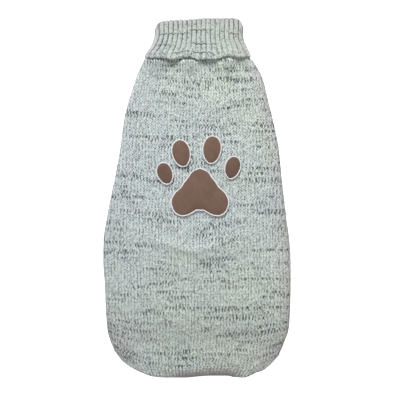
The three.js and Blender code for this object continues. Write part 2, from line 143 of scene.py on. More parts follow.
# y, then x of the left and right side of the folded-down collar.
COLLAR_SECTIONS = (
    (199, -47.2, 51.8),
    (188.5, -47.3, 51.8),
    (181, -47.2, 51.4),
    (175, -48.2, 52),
    (169, -50.6, 54.5),
    (165, -53, 56.4),
    (161, -56, 58.4),
    (156, -58.4, 60.2),
)
# y, then the height and the depth of the side folds.
FOLD_SECTIONS = (
    (157, TWO_LAYERS, 2.95),
    (140, 7.5, 4.6),
    (120, 9, 6),
    (-120, 9, 6),
    (-150, 7.4, 5.2),
    (-175, 5.2, 3.8),
)
# How far the puff of the side folds and the flat edge beside them reach into the back.
PUFF_REACH = 26
RIDGE_FREE_SHARE = 0.4
# Where the cloth climbs over the collar's lower layer.
LIFT_FROM_Y, LIFT_TO_Y = 136, 155.5
# x, height, width, reach and first y of the ridges and hollows that the gathered neck makes.
PUCKERS = (
    (-49, 2.6, 9, 18, 154),
    (-27, -2.3, 7, 20, 157),
    (-9, 3.3, 8.5, 22, 153.8),
    (12.5, -3.4, 9, 28, 157.5),
    (32, 3.3, 8.5, 24, 155),
    (47, -2.8, 6, 22, 158),
    (57, 1.6, 4.5, 14, 155.5),
)
PUCKER_START = 3
# x, y, reach across, reach along, height and curl of the soft creases that lie across the back.
CREASES = (
    (-2, -49, 50, 6, 2.1, 7),
    (16, -59, 30, 5, 1, 6),
    (-30, 117, 20, 7, 0.9, -6),
    (26, 106, 24, 8, 0.8, -5),
    (-4, 97, 18, 6, -0.3, 4),
    (-62, 62, 14, 9, 0.6, 5),
    (58, -116, 30, 7, 0.7, 5),
    (-56, -108, 26, 6, 0.7, -4),
)
# How far past the belly hem and past the wraps the tail's single layer begins and ends to sink.
BELLY_SETTLE = (2, 34)
WRAP_SETTLE = (2, 14)
WELT_DEPTH = 11
# The height to which the back rises at the welt, and from which share of its last bend.
WELT_RISE = 4.75
WELT_RISE_FROM = 0.75
# x and y of the tail's lower edge.
WELT_EDGE = (
    (-82.7, -180.4),
    (-74.2, -186.9),
    (-61, -193.7),
    (-48, -198),
    (-35, -199.15),
    (-14, -199.15),
    (0, -198),
    (15, -197),
    (32, -197),
    (42, -198.6),
    (52, -199.15),
    (59, -197),
    (65.5, -193.7),
    (72.3, -191.5),
    (80.3, -185.7),
)
COURSES = 121
COURSE_PITCH = 2.9
WALES_SHOWN = 31
WALES_WRAPPED = 8
# How far apart the mesh has its points, in wales: where the cloth shows, and where it is wrapped.
FINE_STEP, COARSE_STEP = 0.25, 0.5
INNER_ROWS, INNER_COLUMNS = 60, 61
# y and the distance between wales, which the neck seam gathers.
WALE_PITCH = ((-200, 3.5), (60, 3.5), (110, 3.25), (160, 2.9))
# How a stitch is modelled: heights at quarters of a wale and at thirds of a course, the slant of
# its legs, and how much slants, places and fullness vary.
WALE_QUARTERS = (0, 0.25, 0.5, 0.75, 1)
ACROSS_WALE = (-0.85, -0.06, -0.45, -0.06)
ALONG_COURSE = (-0.35, -0.04, 0)
LEG_SLANT = 0.55
SLANT_SPREAD = 0.22
PLACE_SPREAD = 0.4
FULLNESS_SPREAD = 0.4
# The tail's end: how far it laps the welt, how much thinner it is pressed there and over what
# length, and the share of the body from which its courses bend towards the welt's edge.
TAIL_LAP = 0.6
TAIL_SQUEEZE = 0.22
TAIL_SQUEEZE_REACH = 1.8
TAIL_BEND_FROM = 0.75
# x, y, width, length and drop of the places where the courses sag.
SAGS = (
    (16, 113, 24, 28, 6.5),
    (-4, -44, 44, 26, 9),
)


def lerp(start, end, share):
    return start + (end - start) * share


def smoothstep(value, low, high):
    t = np.clip((value - low) / (high - low), 0, 1)
    return t * t * (3 - 2 * t)


def smooth_table(rows, column=1):
    """A curve through one column of a table against its first that never swings past its rows."""
    table_rows = np.array(sorted(rows), float)
    at, values = table_rows[:, 0], table_rows[:, column]
    slopes = np.diff(values) / np.diff(at)
    before = np.append(slopes[:1], slopes)
    after = np.append(slopes, slopes[-1:])
    turning = before * after <= 0
    total = np.where(turning, 1, before + after)
    tangents = np.where(turning, 0, 2 * before * after / total)

    def curve(wanted):
        place = np.clip(wanted, at[0], at[-1])
        i = np.clip(np.searchsorted(at, place, side="right") - 1, 0, len(slopes) - 1)
        span = at[i + 1] - at[i]
        t = (place - at[i]) / span
        leave = t * (1 - t) ** 2 * span * tangents[i]
        arrive = t * t * (t - 1) * span * tangents[i + 1]
        return lerp(values[i], values[i + 1], t * t * (3 - 2 * t)) + leave + arrive

    return curve


collar_left = smooth_table(COLLAR_SECTIONS)
collar_right = smooth_table(COLLAR_SECTIONS, 2)
mouth_row = (
    COLLAR_MOUTH_Y,
    float(collar_left(COLLAR_MOUTH_Y)) + UNDER_FLAP,
    float(collar_right(COLLAR_MOUTH_Y)) - UNDER_FLAP,
)
open_left = smooth_table((mouth_row, *BODY_SECTIONS))
open_right = smooth_table((mouth_row, *BODY_SECTIONS), 2)
fold_height = smooth_table(FOLD_SECTIONS)
fold_depth = smooth_table(FOLD_SECTIONS, 2)
welt_edge = smooth_table(WELT_EDGE)
wale_pitch = smooth_table(WALE_PITCH)


def body_left(y):
    return np.where(y > COLLAR_MOUTH_Y, collar_left(y) + UNDER_FLAP, open_left(y))


def body_right(y):
    return np.where(y > COLLAR_MOUTH_Y, collar_right(y) - UNDER_FLAP, open_right(y))


def tail_y(share):
    """The body's tail edge, which just laps the welt's."""
    return welt_edge(lerp(WELT_EDGE[0][0], WELT_EDGE[-1][0], share)) + WELT_DEPTH - TAIL_LAP


TAIL_MIDDLE_Y = tail_y(0.5)


class BodyRow:
    """Courses of the body: v is 0 at the neck seam and 1 at the tail, towards which they bend."""

    def __init__(self, v):
        self.middle_y = lerp(NECK_EDGE_Y, TAIL_MIDDLE_Y, v)
        self.bend = smoothstep(v, TAIL_BEND_FROM, 1)
        self.left_y = self.middle_y + self.bend * (tail_y(0) - TAIL_MIDDLE_Y)
        self.right_y = self.middle_y + self.bend * (tail_y(1) - TAIL_MIDDLE_Y)
        self.left = body_left(self.left_y)
        self.right = body_right(self.right_y)
        self.width = self.right - self.left

    def y_at(self, x):
        """Where the courses run at a place across the body."""
        share = np.clip((x - self.left) / self.width, 0, 1)
        return self.middle_y + self.bend * (tail_y(share) - TAIL_MIDDLE_Y)


def lift(y):
    """How far the cloth climbs over the collar's lower layer."""
    return ONE_STEP * smoothstep(y, LIFT_FROM_Y, LIFT_TO_Y)


def gather_height(x, y):
    """The height of the neck's gathers. Their hollows go no deeper than the cloth is lifted."""
    height = 0 * x
    for at, rise, width, reach, start_y in PUCKERS:
        shown = 1 - smoothstep(y, start_y - PUCKER_START, start_y)
        below = np.maximum(start_y - y, 0)
        ridge = np.exp(-(((x - at) / width) ** 2) - (below / reach) ** 2)
        height = height + rise * shown * ridge
    return np.maximum(height, -lift(y))


def ridge_height(x, y):
    """The height of the neck's gathers and of the creases."""
    height = gather_height(x, y)
    for at_x, at_y, across, along, rise, curl in CREASES:
        share = (x - at_x) / across
        middle = at_y + curl * share**2
        height = height + rise * np.exp(-(share**2) - ((y - middle) / along) ** 2)
    return height


def resting_top(x, y):
    """The back's outer surface in the middle, where it lies on the belly panel."""
    return lift(y) + TWO_LAYERS + ridge_height(x, y)


def back_top(row, x, y):
    """The height of the back's outer surface between its side folds."""
    from_wrap = np.minimum(x - row.left, row.right - x) - WRAP_SHARE * row.width
    on_wrap = 1 - smoothstep(from_wrap, *WRAP_SETTLE)
    on_belly = smoothstep(y, BELLY_HEM_Y - BELLY_SETTLE[1], BELLY_HEM_Y - BELLY_SETTLE[0])
    settled = ONE_STEP * (1 - np.maximum(on_wrap, on_belly))
    from_left = x - row.left - fold_depth(row.left_y)
    from_right = row.right - fold_depth(row.right_y) - x
    side_y = np.where(from_left < from_right, row.left_y, row.right_y)
    from_fold = np.clip(np.minimum(from_left, from_right) / PUFF_REACH, 0, 1)
    puff = (fold_height(side_y) - TWO_LAYERS) * 0.5 * (1 + np.cos(np.pi * from_fold))
    ridges = smoothstep(from_fold, 0, RIDGE_FREE_SHARE) * ridge_height(x, y)
    flat = lift(y) + TWO_LAYERS + ridges - settled + puff
    over_welt = smoothstep(row.bend, WELT_RISE_FROM, 1)
    return lerp(flat, np.maximum(flat, WELT_RISE), over_welt)


def half_girth(row, side):
    """Lengths along the cloth from the middle line: the flat top, the side fold, the wrap."""
    side_y = row.left_y if side < 0 else row.right_y
    depth, height = fold_depth(side_y), fold_height(side_y)
    top = row.width / 2 - depth
    fold = np.pi * np.sqrt((depth**2 + (height / 2) ** 2) / 2)
    return top, fold, WRAP_SHARE * row.width - depth


def body_points(v, girth, inside=False):
    """Points and outward normals of the body's cloth, at a signed distance round its girth."""
    row = BodyRow(v)
    centre = (row.left + row.right) / 2
    side = np.where(girth < 0, -1, 1)
    left_parts, right_parts = half_girth(row, -1), half_girth(row, 1)
    top, fold, _ = (np.where(side < 0, a, b) for a, b in zip(left_parts, right_parts))
    side_y = np.where(side < 0, row.left_y, row.right_y)
    depth, height = fold_depth(side_y), fold_height(side_y)
    along = np.abs(girth)
    turn = np.pi * np.clip((along - top) / fold, 0, 1)
    wrapped = np.maximum(along - top - fold, 0)
    wall = WALL if inside else 0
    extreme = np.where(side < 0, row.left, row.right)
    turn_x = extreme - side * depth + side * (depth - wall) * np.sin(turn)
    x = np.where(along < top, centre + girth, turn_x - side * wrapped)
    y = row.y_at(x)
    turn_z = lift(y) + height / 2 + (height / 2 - wall) * np.cos(turn)
    z = np.where(along < top, back_top(row, x, y) - wall, turn_z)
    normal = np.stack([side * np.sin(turn) / depth, 0 * turn, np.cos(turn) / (height / 2)], -1)
    normal /= np.linalg.norm(normal, axis=-1, keepdims=True)
    to_tail = (1 - v) * (NECK_EDGE_Y - TAIL_MIDDLE_Y)
    z = z * (1 - TAIL_SQUEEZE * (1 - smoothstep(to_tail, 0, TAIL_SQUEEZE_REACH)))
    drop = sum(
        fall * np.exp(-(((x - at_x) / width) ** 2) - ((y - at_y) / length) ** 2)
        for at_x, at_y, width, length, fall in SAGS
    )
    return np.stack([x, y - drop * np.cos(turn).clip(0, 1), z], -1), normal


def zip_edges(outer, inner):
    """Triangles between two rows of (place, point number), both given in the same direction."""
    faces = []
    a, b = 0, 0
    while a < len(outer) - 1 or b < len(inner) - 1:
        next_outer = outer[a + 1][0] if a < len(outer) - 1 else math.inf
        next_inner = inner[b + 1][0] if b < len(inner) - 1 else math.inf
        if next_outer <= next_inner:
            faces.append([outer[a][1], outer[a + 1][1], inner[b][1]])
            a += 1
        else:
            faces.append([outer[a][1], inner[b + 1][1], inner[b][1]])
            b += 1
    return faces


def grid_faces(numbers):
    """Quads and triangles of a grid of point numbers, in which clamped points repeat."""
    corners = np.stack(
        [numbers[:-1, :-1], numbers[1:, :-1], numbers[1:, 1:], numbers[:-1, 1:]], -1
    ).reshape(-1, 4)
    faces = []
    for quad in corners.tolist():
        face = [p for i, p in enumerate(quad) if p != quad[i - 1]]
        if len(face) > 2:
            faces.append(face)
    return faces


def edge_rows(numbers):
    """The four edges of a grid, one way round, each with places that run from 0 to 1."""
    edges = (numbers[0], numbers[:, -1], numbers[-1, ::-1], numbers[::-1, 0])
    rows = []
    for edge in edges:
        places = np.linspace(0, 1, len(edge))
        row = []
        for place, point in zip(places.tolist(), edge.tolist()):
            if not row or row[-1][1] != point:
                row.append((place, point))
        row[-1] = (1.0, row[-1][1])
        rows.append(row)
    return rows


def cloth_object(name, points, faces, map_places, point_of=None):
    """A smooth mesh from points in millimetres, whose faces name map places that share them."""
    places = np.arange(len(map_places)) if point_of is None else point_of
    mesh = bpy.data.meshes.new(name)
    mesh.from_pydata((points * MM).tolist(), [], [places[face].tolist() for face in faces])
    layer = mesh.uv_layers.new(name="OFBake")
    corners = map_places[[place for face in faces for place in face]]
    layer.uv.foreach_set("vector", corners.astype(np.float32).ravel())
    mesh.polygons.foreach_set("use_smooth", np.ones(len(mesh.polygons), bool))
    turned = bmesh.new()
    turned.from_mesh(mesh)
    bmesh.ops.recalc_face_normals(turned, faces=turned.faces)
    turned.to_mesh(mesh)
    turned.free()
    made = bpy.data.objects.new(name, mesh)
    bpy.context.scene.collection.objects.link(made)
    return made


# How much of a piece's map the outer grid fills, and the space left above it.
OUTER_SHARE = 0.94
MAP_SPACE = 0.01


def closed_sheet(name, outer, outer_numbers, outer_map, inner, inner_map):
    """A closed shell of cloth: a fine outer grid, a coarser inner grid, and a rim between them."""
    rows, columns = inner.shape[:2]
    start = outer.shape[0] * outer.shape[1]
    inner_numbers = start + np.arange(rows * columns).reshape(rows, columns)
    faces = grid_faces(outer_numbers)
    faces += [face[::-1] for face in grid_faces(inner_numbers)]
    for outer_edge, inner_edge in zip(edge_rows(outer_numbers), edge_rows(inner_numbers)):
        faces += zip_edges(outer_edge, inner_edge)
    points = np.concatenate([outer.reshape(-1, 3), inner.reshape(-1, 3)])
    map_places = np.concatenate([outer_map.reshape(-1, 2), inner_map.reshape(-1, 2)])
    return cloth_object(name, points, faces, map_places)


def inner_places(rows, columns):
    """Map places of an inner grid, in the strip above the outer grid's."""
    across, along = np.meshgrid(np.linspace(0, 1, columns), np.linspace(0, 1, rows))
    return np.stack([across, lerp(OUTER_SHARE + MAP_SPACE, 1, along)], -1)


def uneven(seed, across, along):
    """Smooth random values, mostly from -1 to 1, with a new one at each whole number."""
    size = 256
    table = np.random.default_rng(seed).normal(0, 0.6, (size, size))
    across, along = np.broadcast_arrays(across, along)
    column, row = np.floor(across).astype(int), np.floor(along).astype(int)
    right, up = smoothstep(across - column, 0, 1), smoothstep(along - row, 0, 1)

    def between_columns(at_row):
        start, end = (table[at_row % size, (column + i) % size] for i in (0, 1))
        return lerp(start, end, right)

    return lerp(between_columns(row), between_columns(row + 1), up)


shown = np.arange(-WALES_SHOWN, WALES_SHOWN + FINE_STEP / 2, FINE_STEP)
wrapped = np.arange(COARSE_STEP, WALES_WRAPPED + COARSE_STEP / 2, COARSE_STEP)
wales = np.concatenate([-WALES_SHOWN - wrapped[::-1], shown, WALES_SHOWN + wrapped])
courses = np.arange(0, COURSES * len(ALONG_COURSE) + 1) / len(ALONG_COURSE)
wale, course = wales[None, :], courses[:, None]

row = BodyRow(courses / COURSES)
girth_left = sum(half_girth(row, -1))
girth_right = sum(half_girth(row, 1))
pitch = wale_pitch(row.middle_y)
girth = wale * pitch[:, None]
first = np.array([np.searchsorted(g, -limit) - 1 for g, limit in zip(girth, girth_left)])
last = np.array([np.searchsorted(g, limit) for g, limit in zip(girth, girth_right)])
column = np.clip(np.arange(len(wales))[None, :], first[:, None], last[:, None])
girth = np.clip(girth, -girth_left[:, None], girth_right[:, None])
inside_seams = (column > first[:, None]) & (column < last[:, None])

wale_place = np.mod(wale, 1) + 0 * girth
leg_rise = 1 - np.abs(2 * wale_place - 1)
near_ends = np.clip(np.minimum(course, COURSES - course), 0, 1)
slant = LEG_SLANT * leg_rise + SLANT_SPREAD * uneven(1, wale * 0.9, course * 0.5)
stitch_v = (course - slant * near_ends * inside_seams) / COURSES
girth = girth + PLACE_SPREAD * uneven(2, wale * 0.7, course * 0.6) * inside_seams
across = np.interp(wale_place, WALE_QUARTERS, (*ACROSS_WALE, ACROSS_WALE[0]))
along = np.array(ALONG_COURSE)[np.arange(len(courses)) % len(ALONG_COURSE)][:, None]
fullness = 1 + FULLNESS_SPREAD * uneven(3, wale, course)
relief = (across + along * fullness) * inside_seams

outer, normals = body_points(stitch_v, girth)
outer = outer + normals * relief[..., None]
outer_numbers = np.arange(len(courses))[:, None] * len(wales) + column
outer_map = np.stack(
    [
        (wales[column] - wales[0]) / (wales[-1] - wales[0]),
        OUTER_SHARE * (1 - course / COURSES) + 0 * girth,
    ],
    -1,
)

inner_v = np.linspace(0, 1, INNER_ROWS)[:, None]
inner_row = BodyRow(inner_v)
inner_girth = lerp(
    -sum(half_girth(inner_row, -1)),
    sum(half_girth(inner_row, 1)),
    np.linspace(0, 1, INNER_COLUMNS)[None, :],
)
inner, _ = body_points(inner_v + 0 * inner_girth, inner_girth, inside=True)
back_knit = closed_sheet(
    "back_knit",
    outer,
    outer_numbers,
    outer_map,
    inner,
    inner_places(INNER_ROWS, INNER_COLUMNS),
)


class Value:
    """A shader socket whose sums, products and comparisons add the Math nodes that they need."""

    def __init__(self, finish, socket):
        self.finish = finish
        self.socket = socket

    def __add__(self, other):
        return self.finish.maths("ADD", self, other)

    def __sub__(self, other):
        return self.finish.maths("SUBTRACT", self, other)

    def __rsub__(self, other):
        return self.finish.maths("SUBTRACT", other, self)

    def __mul__(self, other):
        return self.finish.maths("MULTIPLY", self, other)

    def __truediv__(self, other):
        return self.finish.maths("DIVIDE", self, other)

    def __gt__(self, other):
        return self.finish.maths("GREATER_THAN", self, other)

    __radd__ = __add__
    __rmul__ = __mul__

    def floor(self):
        return self.finish.maths("FLOOR", self)

    def within(self):
        """The part after the decimal point."""
        return self.finish.maths("FRACT", self)

    def size(self):
        return self.finish.maths("ABSOLUTE", self)

    def larger(self, other):
        return self.finish.maths("MAXIMUM", self, other)

    def smaller(self, other):
        return self.finish.maths("MINIMUM", self, other)

    def between(self, low, high):
        """Rises smoothly from 0 at low to 1 at high, or falls if low is the larger."""
        settings = {"interpolation_type": "SMOOTHSTEP"}
        if low < high:
            return self.finish.add("MapRange", settings, {0: self, 1: low, 2: high})
        return 1 - self.finish.add("MapRange", settings, {0: self, 1: high, 2: low})


class Finish:
    """One material, whose nodes are added by name, with settings first and then inputs."""

    def __init__(self, name, roughness, sheen=0.0):
        self.material = bpy.data.materials.new(name)
        self.material.use_nodes = True
        self.tree = self.material.node_tree
        self.shader = self.tree.nodes["Principled BSDF"]
        self.shader.inputs["Roughness"].default_value = roughness
        self.shader.inputs["Specular IOR Level"].default_value = 0.2
        self.shader.inputs["Sheen Weight"].default_value = sheen
        self.shader.inputs["Sheen Roughness"].default_value = 0.5

    def add(self, kind, settings=None, inputs=None, output=0):
        node = self.tree.nodes.new("ShaderNode" + kind)
        for name, value in (settings or {}).items():
            setattr(node, name, value)
        for name, value in (inputs or {}).items():
            self.feed(node.inputs[name], value)
        return Value(self, node.outputs[output])

    def feed(self, socket, value):
        if isinstance(value, Value):
            self.tree.links.new(value.socket, socket)
        else:
            socket.default_value = value

    def maths(self, operation, *parts):
        return self.add("Math", {"operation": operation}, dict(enumerate(parts)))

    def mix(self, share, start, end):
        return self.add("Mix", {"data_type": "RGBA"}, {0: share, 6: start, 7: end}, output=2)

    def tone(self, colour, amount):
        """A colour made darker or lighter by an amount that varies over the surface."""
        grey = self.add("CombineColor", None, {0: amount, 1: amount, 2: amount})
        settings = {"data_type": "RGBA", "blend_type": "MULTIPLY"}
        return self.add("Mix", settings, {0: 1.0, 6: colour, 7: grey}, output=2)

    def vector(self, x, y, z=0.0):
        return self.add("CombineXYZ", None, {0: x, 1: y, 2: z})

    def noise(self, place, scale, detail=2.0, roughness=0.5):
        inputs = {"Vector": place, "Scale": scale, "Detail": detail, "Roughness": roughness}
        return self.add("TexNoise", {"noise_dimensions": "3D"}, inputs)

    def speckle(self, x, y, seed=0.0, detail=2.0, roughness=0.5):
        """Noise over two coordinates that already count its lumps."""
        return self.noise(self.vector(x, y, seed), 1.0, detail, roughness)

    def chance(self, x, y, seed):
        """A number from 0 to 1 that is the same all over each cell."""
        inputs = {"Vector": self.vector(x, y, seed)}
        return self.add("TexWhiteNoise", {"noise_dimensions": "3D"}, inputs)

    def across_and_along(self, place):
        """The first two coordinates of a place."""
        across = self.add("SeparateXYZ", None, {0: place})
        return across, Value(self, across.socket.node.outputs[1])

    def map_place(self):
        """The two coordinates of the piece's own map."""
        return self.across_and_along(self.add("UVMap", {"uv_map": "OFBake"}))

    def object_place(self):
        return self.add("TexCoord", output=3)

    def paint(self, colour):
        self.feed(self.shader.inputs["Base Color"], colour)

    def raise_by(self, height, distance, strength=1.0):
        inputs = {"Strength": strength, "Distance": distance, "Height": height}
        self.feed(self.shader.inputs["Normal"], self.add("Bump", None, inputs))


def srgb(red, green, blue):
    """A colour read off in 0 to 255, as the linear colour that a shader takes."""
    parts = [c / 255 for c in (red, green, blue)]
    linear = [c / 12.92 if c <= 0.04045 else ((c + 0.055) / 1.055) ** 2.4 for c in parts]
    return (*linear, 1)


YARN_GREEN = srgb(193, 202, 191)
YARN_GREY = srgb(188, 197, 198)
# The pinkish-grey tint of painted shade on side folds, the tail's corners and the collar's rounded
# parts.
YARN_SHADE_TINT = srgb(170, 158, 164)
YARN_DARK = srgb(60, 66, 66)


def yarn_light(finish, each_stitch, shade_tint_share=0.0):
    """The pale ply: bluer across the middle, and darker towards the tail by painted shade."""
    place = finish.object_place()
    x, y = finish.across_and_along(place)
    patches = finish.noise(place, 18.0, 2.0)
    middle = (y - 0.02).size().between(0.16, 0.02)
    grey = patches + middle * 0.3 - x * 2.5 + (each_stitch - 0.5) * 0.35
    light = finish.mix(grey.between(0.2, 1.0), YARN_GREEN, YARN_GREY)
    # Painted shade: darker towards the tail, and a pinkish-grey tint at the tail's corners and by
    # the share given.
    tail = y.between(-0.06, -0.2)
    corner = x.size().between(0.05, 0.1) * y.between(-0.12, -0.17)
    painted_shade = (corner * 0.4).larger(shade_tint_share)
    light = finish.mix(painted_shade, light, YARN_SHADE_TINT)
    return finish.tone(light, 1.0 - tail * 0.12)


def marled_yarn(finish, wale, course, flecked=1.0, shade_tint_share=0.0):
    """The colour of the marled yarn, on stitches at those wale and course numbers.

    The dark ply shows in runs of legs on one side of their wales, and in some stitches' hearts.
    """
    cell, stitch = wale.floor(), course.floor()
    u = wale.within() - 0.5
    v = course.within()
    out = u.size()
    runs = finish.speckle(wale * 0.06, stitch * 3.71, 12.0)
    fields = finish.speckle(wale * 0.03, stitch * 0.16, 7.0, detail=1.0)
    dark_run = (runs + (fields - 0.5) * 0.1).between(0.5, 0.6)
    side = u > 0.0
    leg_chance = finish.chance(cell * 2 + side, stitch, 5.0)
    leg = (out + v * 0.14 - 0.32).size().between(0.24, 0.13) * v.between(1.0, 0.8)
    row_side = finish.chance((wale * 0.2).floor(), stitch, 13.0) > 0.5
    same_side = 1.0 - (side - row_side).size()
    dark_leg = dark_run * same_side * leg_chance.between(0.0, 0.55)
    stray = leg_chance.between(0.86, 1.0) * 0.5
    fleck = dark_leg.larger(stray) * leg
    heart_chance = finish.chance(cell, stitch, 11.0)
    heart = (out + v * 0.2).between(0.34, 0.22) * v.between(0.0, 0.08) * v.between(1.0, 0.88)
    stray_heart = heart_chance.between(0.94, 1.0) * 0.6
    dark_heart = dark_run * heart_chance.between(0.66, 0.95) + stray_heart
    fleck = (fleck.larger(dark_heart * heart) * flecked).smaller(0.97)
    # Painted shade: the yarn is darker in the gaps between wales, and in pits at the stitches'
    # sides and hearts.
    from_course = 0.5 - (v - 0.5).size()
    pit_chance = finish.chance((wale + 0.5).floor(), (course + 0.5).floor(), 9.0)
    pit_at_side = out.between(0.2, 0.44) * from_course.between(0.46, 0.08)
    pit_in_heart = out.between(0.24, 0.04) * v.between(0.6, 0.1)
    pits = pit_at_side * (0.2 + 0.75 * pit_chance) + pit_in_heart * heart_chance * 0.7
    between_wales = out.between(0.36, 0.5) * 0.05
    gap = between_wales.larger(pits.smaller(0.9))
    grain = finish.speckle(wale * 2.3, course * 1.5, 4.0, detail=0.0)
    shade = (1.0 - gap) * (0.65 + grain.between(0.27, 0.6) * 0.5 + (leg_chance - 0.5) * 0.2)
    light = finish.tone(yarn_light(finish, heart_chance, shade_tint_share), shade)
    return finish.mix(fleck, light, YARN_DARK)


# The number of the wale on the middle line, large enough for no wale to be below zero.
MIDDLE_WALE = 100.0
# How far the yarn's own twist stands out, in metres, and how strongly.
PLY_RELIEF = (0.25 * MM, 0.6)


def jersey_finish(name, first_wale, wale_count, course_count, folded=False):
    """The yarn's finish for a piece whose map spans that many wales and courses.

    A folded piece gets painted shade along its side folds, a pinkish-grey tint, more on the right.
    """
    finish = Finish(name, roughness=0.95, sheen=0.15)
    across_map, along_map = finish.map_place()
    wale = across_map * float(wale_count) + float(first_wale) + MIDDLE_WALE
    course = along_map * (course_count / OUTER_SHARE)
    # Painted shade: a pinkish-grey tint along the side folds, stronger on the right, away from the
    # key light.
    shade_tint_share = 0.0
    if folded:
        _, y = finish.across_and_along(finish.object_place())
        narrowing = (y + 0.06).larger(0.0) * 35.0
        shade_tint_share = ((wale - MIDDLE_WALE).size() + narrowing).between(23.0, 28.5)
        shade_tint_share = shade_tint_share * (0.1 + (wale > MIDDLE_WALE) * 0.2)
    finish.paint(marled_yarn(finish, wale, course, shade_tint_share=shade_tint_share))
    finish.raise_by(finish.speckle(wale * 6.0, course * 2.0), *PLY_RELIEF)
    return finish.material


back_knit.data.materials.append(
    jersey_finish("back_jersey", wales[0], wales[-1] - wales[0], COURSES, folded=True)
)

back_width = float(np.max(girth_left + girth_right))
back_length = float(NECK_EDGE_Y - TAIL_MIDDLE_Y)
back_area = float(np.mean(girth_left + girth_right)) * back_length
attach(back_knit, "root")
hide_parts("back_panel")

# Belly panel. The shorter underside of the same jersey, flat on the table between the back
# panel's turned-under edges, with a turned edge round each of its two front leg openings.
BELLY_WALES = 46
BELLY_COURSES = 103
# Far from the back's wales, so that the panel's marl is its own.
BELLY_FIRST_WALE = 300
BELLY_INNER = (61, 47)
# Heights above the table at quarters of a wale.
BELLY_ACROSS_WALE = (0.5, 0.05, 0.3, 0.05, 0.5)
OPENINGS = [{"x": x, "y": 83, "wide": 36, "long": 60} for x in (-32, 32)]
# How far from an opening its turned edge is stitched down, that ridge's height and width, and how
# far the rim is flat.
OPENING_HEM = 5
HEM_RISE = 0.6
HEM_WIDTH = 0.8
RIM_FLAT = 2
# y between which the dips under the gathered neck's hollows fade out.
BELLY_DIP_END = (152.5, 155.4)


def belly_points(v, share):
    """Points of the panel's outer face, from seam to seam."""
    row = BodyRow(v)
    left_seam = row.left + WRAP_SHARE * row.width
    right_seam = row.right - WRAP_SHARE * row.width
    x = lerp(left_seam + SEAM_GAP, right_seam - SEAM_GAP, share)
    y = lerp(row.y_at(left_seam), row.y_at(right_seam), share)
    dip = np.minimum(gather_height(x, y), 0) * (1 - smoothstep(y, *BELLY_DIP_END))
    return np.stack([x, y, lift(y) + dip], -1)


def from_opening(points, opening):
    """How far points lie outside an opening's rim, in millimetres and roughly."""
    across = (points[..., 0] - opening["x"]) / (opening["wide"] / 2)
    along = (points[..., 1] - opening["y"]) / (opening["long"] / 2)
    reach = np.hypot(across, along)
    offset = np.hypot(points[..., 0] - opening["x"], points[..., 1] - opening["y"])
    return offset * (1 - 1 / np.maximum(reach, 1e-6))


def cut_opening(points, faces, opening):
    """The faces left outside an opening, with its rim's points moved onto it, and its rim."""
    middles = np.array([points[face].mean(axis=0) for face in faces])
    inside = from_opening(middles, opening) < 0
    kept = [face for face, gone in zip(faces, inside) if not gone]
    cut = {point for face, gone in zip(faces, inside) if gone for point in face}
    rim = np.array(sorted(cut & {point for face in kept for point in face}))
    centre = np.array((opening["x"], opening["y"]))
    half = np.array((opening["wide"], opening["long"])) / 2
    reach = (points[rim, :2] - centre) / half
    reach /= np.linalg.norm(reach, axis=1, keepdims=True)
    points[rim, :2] = centre + reach * half
    places = np.arctan2(reach[:, 1], reach[:, 0]) / (2 * np.pi)
    order = np.argsort(places)
    ring = [(float(places[i]), int(rim[i])) for i in order]
    return kept, ring + [(ring[0][0] + 1, ring[0][1])]


belly_end = (NECK_EDGE_Y - BELLY_HEM_Y) / (NECK_EDGE_Y - TAIL_MIDDLE_Y)
belly_wale = np.arange(4 * BELLY_WALES + 1)[None, :] / 4
belly_course = np.arange(2 * BELLY_COURSES + 1)[:, None] / 2
belly_slant = LEG_SLANT * (1 - np.abs(2 * np.mod(belly_wale, 1) - 1))
from_ends = np.minimum(belly_course, BELLY_COURSES - belly_course)
belly_slant = belly_slant * np.clip(from_ends, 0, 1)
belly_v = belly_end * (belly_course - belly_slant) / BELLY_COURSES
belly_outer = belly_points(belly_v, belly_wale / BELLY_WALES)
belly_relief = np.interp(np.mod(belly_wale, 1), WALE_QUARTERS, BELLY_ACROSS_WALE)
for opening in OPENINGS:
    away = from_opening(belly_outer, opening)
    belly_relief = belly_relief * smoothstep(away, 0, RIM_FLAT)
    hem_ridge = np.exp(-(((away - OPENING_HEM) / HEM_WIDTH) ** 2))
    belly_relief = belly_relief + HEM_RISE * hem_ridge
belly_outer[..., 2] += belly_relief
inner_rows, inner_columns = (np.linspace(0, 1, count) for count in BELLY_INNER)
belly_inner = belly_points(belly_end * inner_rows[:, None], inner_columns[None, :])
belly_inner[..., 2] += WALL
belly_numbers = np.arange(belly_outer[..., 0].size).reshape(belly_outer.shape[:2])
belly_inner_numbers = belly_numbers.size + np.arange(math.prod(BELLY_INNER)).reshape(BELLY_INNER)
belly_all = np.concatenate([belly_outer.reshape(-1, 3), belly_inner.reshape(-1, 3)])
outer_faces, inner_faces = grid_faces(belly_numbers), grid_faces(belly_inner_numbers)
belly_rims = []
for opening in OPENINGS:
    outer_faces, outer_ring = cut_opening(belly_all, outer_faces, opening)
    inner_faces, inner_ring = cut_opening(belly_all, inner_faces, opening)
    belly_rims += zip_edges(outer_ring, inner_ring)
for outer_edge, inner_edge in zip(edge_rows(belly_numbers), edge_rows(belly_inner_numbers)):
    belly_rims += zip_edges(outer_edge, inner_edge)
belly_map = np.stack(
    [
        belly_wale / BELLY_WALES + 0 * belly_course,
        OUTER_SHARE * (1 - belly_course / BELLY_COURSES) + 0 * belly_wale,
    ],
    -1,
)
used = sorted({point for face in outer_faces + inner_faces for point in face})
new_number = {point: i for i, point in enumerate(used)}
belly_faces = [[new_number[p] for p in face] for face in outer_faces + inner_faces + belly_rims]
belly_map = np.concatenate([belly_map.reshape(-1, 2), inner_places(*BELLY_INNER).reshape(-1, 2)])
